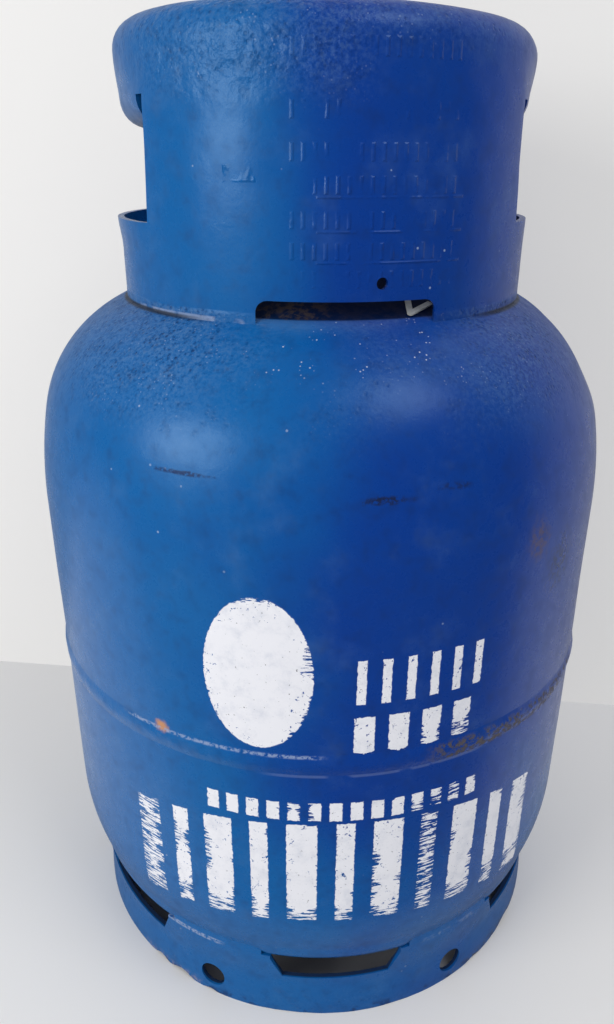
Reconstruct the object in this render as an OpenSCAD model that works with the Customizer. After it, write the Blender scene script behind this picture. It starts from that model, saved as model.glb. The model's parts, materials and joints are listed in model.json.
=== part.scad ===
// Portable gas cylinder: two drawn shells joined by one girth weld, a rolled valve guard with
// two hand windows, a foot ring with air windows, and a hand-wheel valve inside the guard.
// Millimetres, +Z up. The origin is on the floor under the cylinder's axis, and -Y is the front.

/* [Body shells] */
// Outer diameter of the shells
body_d = 304; // [250:1:370]
// Sheet thickness of the shells
wall_t = 2.7; // [2:0.1:4]
// Height of the girth weld above the floor
seam_z = 185.5; // [150:0.5:225]
// Height where the shoulder starts to turn in
shoulder_z = 274; // [228:1:330]
// Gentle first radius of the shoulder
shoulder_soft_r = 219; // [180:1:265]
// Angle turned by the shoulder's gentle radius
shoulder_soft_turn = 13; // [8:1:16]
// Tight second radius of the shoulder
shoulder_tight_r = 72; // [60:1:88]
// Angle at which the shoulder meets its crown
shoulder_crown_turn = 62; // [56:1:68]
// Height where the heel starts to turn in
heel_z = 93; // [90:1:112]
// Gentle first radius of the heel
heel_soft_r = 110; // [92:1:118]
// Angle turned by the heel's gentle radius
heel_soft_turn = 26; // [21:1:28]
// Tight second radius of the heel
heel_tight_r = 38; // [31:1:44]
// Angle at which the heel meets its crown
heel_crown_turn = 75; // [70:1:80]

/* [Girth weld] */
// Gap between the two shell edges
seam_root = 3; // [2:0.1:4]
// Height of the step that backs the weld inside
joggle_h = 15; // [10:0.5:20]
// Width of the weld bead
seam_bead_w = 12; // [8:0.5:15]
// How far the bead stands out of the wall
seam_bead_h = 1.5; // [1:0.1:2.5]

/* [Valve guard] */
// Outer diameter of the guard at its foot
guard_d = 202.8; // [169:0.2:243]
// Sheet thickness of the guard
guard_t = 3; // [2.5:0.1:4]
// Height of the guard from foot to rim
guard_h = 121.5; // [101:0.5:146]
// How far the guard's waist is pulled in
guard_waist_in = 2.6; // [1:0.1:5]
// How far the guard stands inside its foot diameter below the rim
guard_rim_in = 2.1; // [1:0.1:4]
// Outer radius of the rolled rim
rim_r = 13; // [10.5:0.1:15.6]
// Height of the hand windows' sill above the foot
sill_h = 38; // [32:0.5:46]
// Clear height of the hand windows
window_h = 39; // [32:0.5:47]
// Half of the angle that a hand window spans
window_half_turn = 34.7; // [29:0.1:42]
// Outer radius of the lip rolled in above a hand window
lip_r = 12; // [10:0.1:14]
// Angle between a lip's end and the window's side
lip_relief_turn = 3.6; // [3:0.1:4.5]
// Width of the drain slot
drain_w = 77; // [64:1:92]
// Height of the drain slot
drain_h = 10; // [8.5:0.1:12]
// Corner radius of the drain slot
drain_corner_r = 5; // [4:0.1:6]
// Turn of the drain slot from the front
drain_turn = 0.9; // [-5:0.1:5]
// Diameter of the small round hole above the drain slot
tag_hole_d = 5; // [4:0.1:6]
// Height of the small round hole above the foot
tag_hole_h = 17.2; // [15:0.1:20.6]
// Turn of the small round hole from the front
tag_hole_turn = 8.9; // [7:0.1:11]

/* [Foot ring] */
// How far the foot ring stands inside the body
foot_inset = 9.5; // [8:0.1:11.4]
// Sheet thickness of the foot ring
foot_t = 3; // [2.5:0.1:4]
// How far the foot ring's waist is pulled in
foot_waist_in = 1.2; // [0:0.1:2]
// Height of the foot ring's waist
foot_waist_z = 22; // [18:0.5:26]
// How far the foot ring's top edge stands outside its foot
foot_flare = 0.8; // [0:0.1:1.5]
// How far the top edge laps up past its contact with the heel
foot_lap = 0.8; // [0.5:0.1:2]
// Number of air windows
foot_windows = 6; // [4:1:6]
// Angle from one air window to the next
foot_window_pitch = 55; // [50:1:60]
// Width of an air window at its bottom
foot_window_low_w = 58.6; // [50:0.1:70]
// Width of an air window at the foot ring's top edge
foot_window_top_w = 74; // [62:0.1:88]
// Height of an air window's bottom edge
foot_window_z = 28; // [24:0.5:33]
// Diameter of the round holes between the windows
foot_hole_d = 15; // [12.5:0.1:18]
// Height of the round holes
foot_hole_z = 13.2; // [11:0.1:15.8]
// Angle from one round hole to the next
foot_hole_pitch = 57.8; // [52:0.1:62]
// Turn of the foot ring from the front
foot_turn = -0.6; // [-5:0.1:5]

/* [Valve] */
// Diameter of the threaded boss in the crown
boss_d = 48; // [40:0.5:57]
// How far the boss stands above the crown
boss_rise = 10; // [8.5:0.5:12]
// How far the boss reaches below the crown
boss_drop = 8; // [7:0.5:9.5]
// Stem diameter at the boss's top face
stem_d = 28.8; // [24:0.1:32]
// Taper of the stem, in diameter over length
stem_taper = 0.12; // [0.06:0.01:0.14]
// Width across the valve's wrench flats
flats_w = 34; // [30:0.5:40]
// Diameter of the valve's upright barrel
barrel_d = 28; // [26:0.5:33]
// Height of the valve body above the boss
valve_h = 48; // [47:0.5:57]
// Diameter of the horizontal outlet
outlet_d = 30; // [27:0.5:33]
// Length of the outlet from the valve's axis
outlet_len = 36; // [30:0.5:43]
// Bore diameter of the outlet's thread
outlet_bore_d = 20.8; // [17.5:0.1:24]
// Depth of the outlet's thread
outlet_bore_len = 16; // [13.5:0.5:19]
// Diameter of the hand wheel
wheel_d = 52; // [44:1:62]
// Height of the hand wheel
wheel_h = 11; // [9:0.5:13]
// Number of finger hollows round the hand wheel
wheel_hollows = 8; // [5:1:10]
// Lift of the seat between closed and open
seat_lift = 2.5; // [2:0.1:3]
// Diameter of the horizontal relief barrel
relief_d = 20; // [19:0.5:24]
// Length of the relief barrel from the valve's axis
relief_len = 32; // [30:0.5:38]
// Travel of the relief poppet
relief_travel = 2; // [1.5:0.1:2.5]

/* [Seal strip] */
// Width of the torn seal strip that lies behind the drain slot
strip_w = 2.6; // [2:0.1:4]
// Length of each leg of the strip
strip_leg = 15; // [12:0.5:18]
// Thickness of the strip
strip_t = 0.8; // [0.5:0.1:1.2]

/* [Hidden] */
$fn = 144;

paint_blue = [0.10, 0.27, 0.56];
weld_blue = [0.13, 0.31, 0.60];
brass = [0.72, 0.56, 0.28];
steel = [0.62, 0.62, 0.64];
rubber = [0.08, 0.08, 0.08];
plastic = [0.12, 0.12, 0.13];
film = [0.78, 0.80, 0.80];

// General clearances: a running fit's radial gap, and the gap between stacked loose parts
running_gap = 0.05;
stack_gap = 0.1;
// Reach of cuts that pass right through something
past = 1;
far_r = 2 * body_d;

// A dome is [outer radius, start height, soft radius, soft turn, tight radius, crown turn, side],
// and its outline is three tangent arcs: soft, tight and crown. Side is 1 upwards, -1 downwards.
body_r = body_d / 2;
shoulder = [body_r, shoulder_z, shoulder_soft_r, shoulder_soft_turn, shoulder_tight_r,
    shoulder_crown_turn, 1];
heel = [body_r, heel_z, heel_soft_r, heel_soft_turn, heel_tight_r, heel_crown_turn, -1];

function side(d) = d[6];
function ray(d, turn) = [cos(turn), side(d) * sin(turn)];
function soft_centre(d) = [d[0] - d[2], d[1]];
function soft_end(d) = soft_centre(d) + d[2] * ray(d, d[3]);
function tight_centre(d) = soft_end(d) - d[4] * ray(d, d[3]);
function tight_end(d) = tight_centre(d) + d[4] * ray(d, d[5]);
function crown_r(d) = tight_end(d)[0] / cos(d[5]);
function crown_centre(d) = tight_end(d) - crown_r(d) * ray(d, d[5]);
function crown_top(d) = crown_centre(d)[1] + side(d) * crown_r(d);
function inset(d, t) = [d[0] - t, d[1], d[2] - t, d[3], d[4] - t, d[5], d[6]];
function arc_height(d, centre, arc_r, r) = centre[1] + side(d) * sqrt(pow(arc_r, 2) - pow(r - centre[0], 2));
// Height of a dome's outline at radius r
function surface_z(d, r) = r <= tight_end(d)[0] ? arc_height(d, crown_centre(d), crown_r(d), r)
    : r <= soft_end(d)[0] ? arc_height(d, tight_centre(d), d[4], r)
    : arc_height(d, soft_centre(d), d[2], r);

// Radius of a dome's outline at height z, on its soft arc
function soft_r_at(d, z) = soft_centre(d)[0] + sqrt(pow(d[2], 2) - pow(z - d[1], 2));

// The part of an arc's inside that lies between two heights
module arc_band(centre, arc_r, z_a, z_b) {
    low = min(z_a, z_b);
    high = max(z_a, z_b);
    intersection() {
        translate([0, low]) square([far_r, high - low]);
        union() {
            translate(centre) circle(arc_r, $fn = 360);
            if (centre[0] > 0) translate([0, low]) square([centre[0], high - low]);
        }
    }
}

// Everything inside a dome's outline, from just short of its start height to its crown. The
// tight arc lies inside its neighbours, so its band runs a little way into both of theirs.
module dome_inside(d) {
    arc_band(soft_centre(d), d[2], d[1] - side(d) * past, soft_end(d)[1]);
    arc_band(tight_centre(d), d[4], soft_end(d)[1] - side(d) * past,
        tight_end(d)[1] + side(d) * past);
    arc_band(crown_centre(d), crown_r(d), tight_end(d)[1], crown_top(d) + side(d) * past);
}

// A solid of revolution over part of a turn, centred on a direction from the front
module sector(turn, half) {
    rotate([0, 0, turn - 90 - half]) rotate_extrude(angle = 2 * half) children();
}

// Puts something that points along +X at a turn from the front
module at_turn(turn) {
    rotate([0, 0, turn - 90]) children();
}

// ---- body shells ----

seam_top = seam_z + seam_root / 2;
seam_low = seam_z - seam_root / 2;
joggle_gap = 0.1;
joggle_r = body_r - wall_t - joggle_gap;
boss_r = boss_d / 2;

module upper_shell() {
    color(paint_blue) rotate_extrude() difference() {
        union() {
            dome_inside(shoulder);
            translate([0, seam_top]) square([body_r, shoulder_z - seam_top]);
        }
        dome_inside(inset(shoulder, wall_t));
        translate([0, seam_top - past]) square([body_r - wall_t, shoulder_z - seam_top + past]);
        translate([0, shoulder_z]) square([boss_r, far_r]);
    }
}

module lower_shell() {
    bend = wall_t;
    color(paint_blue) rotate_extrude() {
        difference() {
            dome_inside(heel);
            dome_inside(inset(heel, wall_t));
        }
        polygon([[body_r - wall_t, heel_z], [body_r, heel_z], [body_r, seam_low],
            [joggle_r, seam_top], [joggle_r, seam_top + joggle_h],
            [joggle_r - wall_t, seam_top + joggle_h], [joggle_r - wall_t, seam_top - bend / 2],
            [body_r - wall_t, seam_low - bend / 2]]);
    }
}

module girth_weld() {
    cap_r = (pow(seam_bead_w / 2, 2) + pow(seam_bead_h, 2)) / (2 * seam_bead_h);
    color(weld_blue) rotate_extrude() {
        difference() {
            translate([body_r + seam_bead_h - cap_r, seam_z]) circle(cap_r);
            translate([0, seam_z - cap_r - past]) square([body_r, 2 * (cap_r + past)]);
        }
        polygon([[body_r, seam_low], [body_r, seam_top], [joggle_r, seam_top]]);
    }
}

// ---- valve guard ----

guard_r = guard_d / 2;
guard_foot_z = surface_z(shoulder, guard_r);
guard_root_z = surface_z(shoulder, guard_r + guard_t);
sill_z = guard_foot_z + sill_h;
window_top_z = sill_z + window_h;
lip_z = window_top_z + lip_r;
rim_z = guard_foot_z + guard_h - rim_r;
waist_z = window_top_z + lip_r / 2;
rim_wall_r = guard_r - guard_rim_in;
waist_r = guard_r - guard_waist_in;
rim_tail = 4;
lip_tail = 3;
lip_wall_r = waist_r + (rim_wall_r - waist_r) * (lip_z - waist_z) / (rim_z - waist_z);

// A rolled edge: half a tube wall of outer radius roll_r that starts inside the wall's thickness
// and ends in a short straight tail. Up is 1 for a rim and -1 for a lip.
module rolled_edge(wall_r, z, roll_r, tail, up) {
    root = guard_t / 3;
    translate([wall_r - roll_r, z]) difference() {
        circle(roll_r);
        circle(roll_r - guard_t);
        translate([-far_r, up > 0 ? -2 * far_r : 0]) square(2 * far_r);
    }
    translate([wall_r - 2 * roll_r, up > 0 ? z - tail : z - root]) square([guard_t, tail + root]);
    translate([wall_r - 2 * root, z - root]) square([root, 2 * root]);
}

module guard_section() {
    difference() {
        polygon([[guard_r - guard_t, guard_root_z], [guard_r, guard_root_z], [guard_r, sill_z],
            [waist_r, waist_z], [rim_wall_r, rim_z], [rim_wall_r - guard_t, rim_z],
            [waist_r - guard_t, waist_z], [guard_r - guard_t, sill_z]]);
        dome_inside(shoulder);
    }
    rolled_edge(rim_wall_r, rim_z, rim_r, rim_tail, 1);
}

module drain_slot() {
    foot = -drain_h;
    at_turn(drain_turn) translate([guard_r / 2, 0, guard_foot_z]) rotate([90, 0, 90])
        linear_extrude(guard_r) {
            translate([-drain_w / 2, foot]) square([drain_w, 2 * drain_h - drain_corner_r]);
            translate([-drain_w / 2 + drain_corner_r, foot])
                square([drain_w - 2 * drain_corner_r, 2 * drain_h]);
            for (x = [-1, 1])
                translate([x * (drain_w / 2 - drain_corner_r), drain_h - drain_corner_r])
                    circle(drain_corner_r, $fn = 48);
        }
}

module guard() {
    color(paint_blue) difference() {
        union() {
            difference() {
                rotate_extrude() guard_section();
                for (turn = [-90, 90]) sector(turn, window_half_turn)
                    translate([guard_r / 2, sill_z]) square([guard_r, lip_z - sill_z]);
            }
            for (turn = [-90, 90]) sector(turn, window_half_turn - lip_relief_turn)
                rolled_edge(lip_wall_r, lip_z, lip_r, lip_tail, -1);
        }
        drain_slot();
        at_turn(tag_hole_turn) translate([guard_r / 2, 0, guard_foot_z + tag_hole_h])
            rotate([0, 90, 0]) cylinder(d = tag_hole_d, h = guard_r, $fn = 32);
    }
}

// Fillet runs inside the guard that hold it to the crown, two in front and two behind
guard_weld_turns = [-38, 38, 142, 218];
guard_weld_half = 10;
guard_weld_r = 2.8;

module guard_welds() {
    inner_r = guard_r - guard_t;
    color(weld_blue) for (turn = guard_weld_turns) sector(turn, guard_weld_half) difference() {
        translate([inner_r - guard_weld_r / 4, surface_z(shoulder, inner_r)])
            circle(guard_weld_r, $fn = 48);
        dome_inside(shoulder);
        translate([inner_r, guard_foot_z - far_r / 2]) square(far_r);
    }
}

// Upright beads where the rolled strips of the guard and the foot ring are joined end to end
bead_w = 5;
bead_h = 1;

module guard_seam() {
    low = guard_foot_z + bead_w;
    color(weld_blue) at_turn(180) difference() {
        translate([guard_r + bead_h - bead_w, 0, low]) cylinder(r = bead_w, h = sill_z - low);
        translate([0, 0, low - past]) cylinder(r = guard_r, h = sill_z - low + 2 * past, $fn = 720);
    }
}

// ---- foot ring ----

foot_r = body_r - foot_inset;
foot_top_r = foot_r + foot_flare;
foot_waist_r = foot_r - foot_waist_in;
foot_top_z = surface_z(heel, foot_top_r - foot_t) + foot_lap;
foot_window_turns = [for (i = [0 : foot_windows - 1])
    foot_turn + foot_window_pitch * (i - ceil(foot_windows / 2) + 1)];
foot_long_land_turn = (foot_window_turns[0] + foot_window_turns[foot_windows - 1] + 360) / 2;

module foot_section() {
    difference() {
        polygon([[foot_r - foot_t, 0], [foot_r, 0], [foot_waist_r, foot_waist_z],
            [foot_top_r, foot_top_z], [foot_top_r - foot_t, foot_top_z],
            [foot_waist_r - foot_t, foot_waist_z]]);
        dome_inside(heel);
    }
}

module foot_window() {
    slope = (foot_window_top_w - foot_window_low_w) / 2 / (foot_top_z - foot_window_z);
    low = foot_window_low_w / 2;
    high = low + slope * (foot_top_z + past - foot_window_z);
    translate([foot_r / 2, 0, 0]) rotate([90, 0, 90]) linear_extrude(foot_r)
        polygon([[-low, foot_window_z], [low, foot_window_z], [high, foot_top_z + past],
            [-high, foot_top_z + past]]);
}

module foot_ring() {
    color(paint_blue) difference() {
        rotate_extrude() foot_section();
        for (turn = foot_window_turns) at_turn(turn) foot_window();
        for (i = [1 : foot_windows - 1])
            at_turn(foot_turn + foot_hole_pitch * (i - ceil(foot_windows / 2) + 0.5))
                translate([foot_r / 2, 0, foot_hole_z]) rotate([0, 90, 0])
                    cylinder(d = foot_hole_d, h = foot_r, $fn = 64);
    }
}

// One smooth fillet run on each land between two windows, and on the long land at the strip's
// joint. It fills the ledge of the top edge, flush with the ring's outside.
foot_weld_leg = 5;
foot_weld_margin = 1.5;
foot_window_half = asin(foot_window_top_w / 2 / foot_top_r);

module foot_weld(turn, half) {
    high = foot_top_z + foot_weld_leg;
    sector(turn, half) difference() {
        polygon([[foot_top_r - foot_t, foot_top_z], [foot_top_r, foot_top_z],
            [soft_r_at(heel, high), high]]);
        dome_inside(heel);
    }
}

module foot_ring_welds() {
    land_half = foot_window_pitch / 2 - foot_window_half - foot_weld_margin;
    long_half = 180 - foot_window_pitch * (foot_windows - 1) / 2 - foot_window_half
        - foot_weld_margin;
    color(weld_blue) {
        for (i = [1 : foot_windows - 1])
            foot_weld((foot_window_turns[i - 1] + foot_window_turns[i]) / 2, land_half);
        foot_weld(foot_long_land_turn, long_half);
    }
}

module foot_ring_seam() {
    low = 4;
    high = foot_top_z - bead_w;
    color(weld_blue) at_turn(foot_long_land_turn) intersection() {
        difference() {
            translate([foot_r + bead_h - bead_w, 0, low]) cylinder(r = bead_w, h = high - low);
            rotate_extrude($fn = 720) polygon([[0, 0], [foot_r, 0], [foot_waist_r, foot_waist_z],
                [foot_top_r, foot_top_z], [0, foot_top_z]]);
        }
        translate([foot_r - bead_w, -bead_w, 0]) cube([3 * bead_w, 2 * bead_w, foot_top_z]);
    }
}

// ---- boss ----

crown_z = crown_top(shoulder);
boss_top_z = crown_z + boss_rise;
boss_low_z = crown_z - boss_drop;
function stem_r(z) = stem_d / 2 + (z - boss_top_z) * stem_taper / 2;

module valve_boss() {
    color(paint_blue) difference() {
        translate([0, 0, boss_low_z]) cylinder(r = boss_r, h = boss_top_z - boss_low_z);
        translate([0, 0, boss_low_z - past]) cylinder(r1 = stem_r(boss_low_z - past),
            r2 = stem_r(boss_top_z + past), h = boss_top_z - boss_low_z + 2 * past);
    }
}

module boss_weld() {
    weld_r = 5;
    color(weld_blue) rotate_extrude() difference() {
        translate([boss_r, surface_z(shoulder, boss_r)]) circle(weld_r, $fn = 48);
        dome_inside(shoulder);
        translate([0, shoulder_z]) square([boss_r, far_r]);
    }
}

// ---- valve ----

flats_z = boss_top_z + 2;
flats_h = 12;
barrel_top_z = boss_top_z + valve_h;
barrel_r = barrel_d / 2;
// Gas way: up the stem to the seat ring, then sideways out of the chamber
gas_way_r = 3;
seat_z = boss_top_z + 17;
seat_ring_r = 4.2;
seat_ring_h = 1;
chamber_r = 7;
chamber_low_z = seat_z - seat_ring_h;
bonnet_thread_r = 10;
bonnet_thread_len = 9;
bonnet_low_z = barrel_top_z - bonnet_thread_len;
outlet_z = seat_z + 6;
outlet_way_r = 3.5;
outlet_cone_r = 8;
outlet_cone_len = 5;
relief_z = flats_z + 9;
relief_bore_r = 6;
relief_seat_x = 10;
relief_way_r = 2;
stem_low_z = boss_low_z - 4;

module along_x(x, z) {
    translate([x, 0, z]) rotate([0, 90, 0]) children();
}

module valve_body() {
    color(brass) difference() {
        union() {
            translate([0, 0, stem_low_z]) cylinder(r1 = stem_r(stem_low_z), r2 = stem_r(flats_z),
                h = flats_z - stem_low_z);
            translate([0, 0, flats_z]) cylinder(d = flats_w / cos(30), h = flats_h, $fn = 6);
            translate([0, 0, flats_z]) cylinder(r = barrel_r, h = barrel_top_z - flats_z);
            along_x(0, outlet_z) cylinder(d = outlet_d, h = outlet_len);
            along_x(-relief_len, relief_z) cylinder(d = relief_d, h = relief_len);
        }
        // gas way, chamber with its raised seat ring, and the bonnet's thread
        translate([0, 0, stem_low_z - past]) cylinder(r = gas_way_r, h = seat_z - stem_low_z + 2 * past);
        translate([0, 0, chamber_low_z]) difference() {
            cylinder(r = chamber_r, h = barrel_top_z - chamber_low_z + past);
            cylinder(r = seat_ring_r, h = seat_ring_h);
        }
        translate([0, 0, bonnet_low_z]) cylinder(r = bonnet_thread_r, h = bonnet_thread_len + past);
        // outlet: thread bore, sealing cone and the way from the chamber
        along_x(outlet_len - outlet_bore_len, outlet_z)
            cylinder(d = outlet_bore_d, h = outlet_bore_len + past);
        along_x(outlet_len - outlet_bore_len - outlet_cone_len, outlet_z)
            cylinder(r1 = outlet_way_r, r2 = outlet_cone_r, h = outlet_cone_len + past / 10);
        along_x(chamber_r / 2, outlet_z) cylinder(r = outlet_way_r, h = outlet_len / 2);
        // relief: way from the stem, and the poppet's bore
        along_x(-relief_len - past, relief_z)
            cylinder(r = relief_bore_r, h = relief_len - relief_seat_x + past);
        along_x(-relief_seat_x - past, relief_z) cylinder(r = relief_way_r, h = relief_seat_x + past);
    }
}

spindle_r = 4;
spindle_bore_r = spindle_r + running_gap;
gasket_h = 1.5;
gasket_r = 13;
bonnet_hex_z = barrel_top_z + gasket_h;
bonnet_hex_h = 8;
bonnet_hex_w = 26;
bonnet_neck_r = 8;
bonnet_neck_h = 3;
bonnet_top_z = bonnet_hex_z + bonnet_hex_h + bonnet_neck_h;
seal_wire_r = 1;
seal_z = bonnet_hex_z + bonnet_hex_h / 2;
seal_centre_r = spindle_bore_r + seal_wire_r;

module bonnet_gasket() {
    color(rubber) translate([0, 0, barrel_top_z]) difference() {
        cylinder(r = gasket_r, h = gasket_h);
        translate([0, 0, -past]) cylinder(r = bonnet_thread_r, h = gasket_h + 2 * past);
    }
}

module bonnet() {
    groove_r = seal_centre_r + seal_wire_r;
    color(brass) difference() {
        union() {
            translate([0, 0, bonnet_low_z]) cylinder(r = bonnet_thread_r, h = bonnet_hex_z - bonnet_low_z);
            translate([0, 0, bonnet_hex_z]) cylinder(d = bonnet_hex_w / cos(30), h = bonnet_hex_h, $fn = 6);
            translate([0, 0, bonnet_hex_z]) cylinder(r = bonnet_neck_r, h = bonnet_top_z - bonnet_hex_z);
        }
        translate([0, 0, bonnet_low_z - past])
            cylinder(r = spindle_bore_r, h = bonnet_top_z - bonnet_low_z + 2 * past);
        translate([0, 0, seal_z - seal_wire_r]) cylinder(r = groove_r, h = 2 * seal_wire_r);
    }
}

module spindle_seal() {
    color(rubber) translate([0, 0, seal_z]) rotate_extrude()
        translate([seal_centre_r, 0]) circle(seal_wire_r, $fn = 32);
}

// The seat block climbs its thread in the chamber as the spindle's tongue turns it
pad_h = 2;
pad_r = 4.8;
block_nose_r = 4.8;
block_nose_z = seat_z + pad_h;
block_head_z = outlet_z + outlet_way_r + 0.5;
block_top_z = bonnet_low_z - seat_lift - 1.5;
tongue_w = 2;
tongue_l = 8;
tongue_gap = 0.1;
collar_h = 1;
collar_top_z = bonnet_low_z - stack_gap;
tongue_low_z = block_top_z - 2.5;
slot_low_z = tongue_low_z - seat_lift - 1;
wheel_gap = 1.5;
wheel_z = bonnet_top_z + wheel_gap;
wheel_bore_h = 8;
square_w = 6;
square_top_z = wheel_z + wheel_bore_h;
stud_r = 2.5;
nut_h = 4;
nut_w = 8;
stud_top_z = square_top_z + nut_h + 1.5;

module seat_pad() {
    color(rubber) translate([0, 0, seat_z]) cylinder(r = pad_r, h = pad_h);
}

module seat_block() {
    color(brass) difference() {
        union() {
            translate([0, 0, block_nose_z]) cylinder(r = block_nose_r, h = block_head_z - block_nose_z);
            translate([0, 0, block_head_z])
                cylinder(r = chamber_r - running_gap, h = block_top_z - block_head_z);
        }
        translate([-chamber_r, -tongue_w / 2 - tongue_gap, slot_low_z])
            cube([2 * chamber_r, tongue_w + 2 * tongue_gap, block_top_z - slot_low_z + past]);
    }
}

module spindle() {
    color(steel) {
        translate([-tongue_l / 2, -tongue_w / 2, tongue_low_z])
            cube([tongue_l, tongue_w, collar_top_z - collar_h / 2 - tongue_low_z]);
        translate([0, 0, collar_top_z - collar_h]) cylinder(r = spindle_r + 2, h = collar_h);
        translate([0, 0, collar_top_z - collar_h]) cylinder(r = spindle_r, h = wheel_z - collar_top_z + collar_h);
        translate([-square_w / 2, -square_w / 2, wheel_z - stack_gap])
            cube([square_w, square_w, wheel_bore_h + stack_gap]);
        translate([0, 0, square_top_z - past]) cylinder(r = stud_r, h = stud_top_z - square_top_z + past);
    }
}

module handwheel() {
    hollow_r = 5.5;
    rim_w = 9;
    web_h = 4;
    hub_r = 9;
    edge = 1.5;
    color(plastic) difference() {
        union() {
            difference() {
                rotate_extrude() polygon([[0, wheel_z + edge], [wheel_d / 2 - edge, wheel_z + edge],
                    [wheel_d / 2, wheel_z + 2 * edge], [wheel_d / 2, wheel_z + wheel_h - edge],
                    [wheel_d / 2 - edge, wheel_z + wheel_h], [0, wheel_z + wheel_h]]);
                translate([0, 0, wheel_z + edge + web_h])
                    cylinder(r = wheel_d / 2 - rim_w, h = wheel_h);
            }
            translate([0, 0, wheel_z]) cylinder(r = hub_r, h = wheel_bore_h);
        }
        for (i = [1 : wheel_hollows]) rotate([0, 0, i * 360 / wheel_hollows])
            translate([wheel_d / 2 + hollow_r / 2, 0, wheel_z - past])
                cylinder(r = hollow_r, h = wheel_h + 2 * past, $fn = 48);
        translate([-square_w / 2, -square_w / 2, wheel_z - past])
            cube([square_w, square_w, wheel_h + 2 * past]);
    }
}

module wheel_nut() {
    color(steel) translate([0, 0, square_top_z]) difference() {
        cylinder(d = nut_w / cos(30), h = nut_h, $fn = 6);
        translate([0, 0, -past]) cylinder(r = stud_r, h = nut_h + 2 * past);
    }
}

// ---- relief valve, laid out from the seat outwards along -X ----

relief_pad_h = 1.5;
relief_pad_r = 4;
poppet_x = relief_seat_x + relief_pad_h;
poppet_head_h = 3.5;
poppet_stem_r = 1.8;
spring_x = poppet_x + poppet_head_h;
spring_end_x = relief_len - 5;
cap_head_h = 3;
cap_hex_w = 15;
cap_vent_r = 0.9;
cap_vent_at = 4;
spring_wire_r = 0.6;
spring_coil_r = 4.3;
spring_turns = 5;
spring_steps = 12;
spring_sides = 8;

module outwards(x) {
    translate([-x, 0, relief_z]) rotate([0, -90, 0]) children();
}

module relief_pad() {
    color(rubber) outwards(relief_seat_x) cylinder(r = relief_pad_r, h = relief_pad_h);
}

module relief_poppet() {
    flat_w = 2 * relief_bore_r - 2.4;
    color(brass) outwards(poppet_x) {
        intersection() {
            cylinder(r = relief_bore_r - running_gap, h = poppet_head_h);
            translate([-relief_bore_r, -flat_w / 2, -past]) cube([2 * relief_bore_r, flat_w, 3 * poppet_head_h]);
        }
        // flush with the cap's outer face when the valve is fully lifted
        cylinder(r = poppet_stem_r, h = relief_len + cap_head_h - relief_travel - poppet_x);
    }
}

function coil_point(turn) = [spring_coil_r * cos(turn), spring_coil_r * sin(turn),
    spring_wire_r + (spring_end_x - spring_x - 2 * spring_wire_r) * turn / (360 * spring_turns)];
function coil_ring(turn) = [for (j = [0 : spring_sides - 1]) let (a = j * 360 / spring_sides)
    coil_point(turn) + spring_wire_r * cos(a) * [cos(turn), sin(turn), 0]
        + spring_wire_r * sin(a) * [0, 0, 1]];

module relief_spring() {
    rings = spring_turns * spring_steps;
    points = [for (i = [0 : rings]) each coil_ring(i * 360 / spring_steps)];
    sides = [for (i = [0 : rings - 1]) for (j = [0 : spring_sides - 1])
        let (k = (j + 1) % spring_sides, low = i * spring_sides, high = low + spring_sides)
            [low + j, high + j, high + k, low + k]];
    first = [for (j = [0 : spring_sides - 1]) j];
    last = [for (j = [spring_sides - 1 : -1 : 0]) rings * spring_sides + j];
    color(steel) outwards(spring_x) polyhedron(points, concat(sides, [first, last]));
}

module relief_cap() {
    color(brass) difference() {
        union() {
            outwards(spring_end_x) cylinder(r = relief_bore_r, h = relief_len - spring_end_x);
            outwards(relief_len) cylinder(d = cap_hex_w / cos(30), h = cap_head_h, $fn = 6);
        }
        outwards(spring_end_x - past)
            cylinder(r = poppet_stem_r + running_gap, h = relief_len - spring_end_x + cap_head_h + 2 * past);
        for (y = [-cap_vent_at, cap_vent_at]) translate([0, y, 0]) outwards(spring_end_x - past)
            cylinder(r = cap_vent_r, h = relief_len - spring_end_x + cap_head_h + 2 * past, $fn = 24);
    }
}

// ---- torn seal strip, folded to a V, lying on the crown behind the drain slot ----

strip_turn = 18.2;
strip_gap = 1.5;
strip_lift = 0.3;
// Directions of the two legs from the fold, where 0 is outwards and 180 is towards the axis
strip_leg_turns = [160, 117];

module seal_strip() {
    fold_r = guard_r - guard_t - strip_gap - strip_w / 2;
    slope = asin((fold_r - strip_leg / 2) / crown_r(shoulder));
    color(film) at_turn(strip_turn)
        translate([fold_r, 0, surface_z(shoulder, fold_r) + strip_lift]) rotate([0, slope, 0]) {
            for (leg = strip_leg_turns) rotate([0, 0, leg])
                translate([0, -strip_w / 2, 0]) cube([strip_leg, strip_w, strip_t]);
            cylinder(d = strip_w, h = strip_t, $fn = 32);
        }
}

upper_shell();
lower_shell();
girth_weld();
guard();
guard_welds();
guard_seam();
foot_ring();
foot_ring_welds();
foot_ring_seam();
valve_boss();
boss_weld();
valve_body();
bonnet();
bonnet_gasket();
spindle();
spindle_seal();
seat_block();
seat_pad();
handwheel();
wheel_nut();
relief_poppet();
relief_pad();
relief_spring();
relief_cap();
seal_strip();
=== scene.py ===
"""Looks of a worn gas cylinder in blue paint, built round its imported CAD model.

Metres, +Z up. The origin is on the floor under the cylinder's axis, and -Y is the front. Turns
are in degrees round the axis, 0 at the front and positive towards +X.
"""

import json
import math

import bmesh
import bpy
import numpy as np
from mathutils import Matrix, Vector, noise


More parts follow.
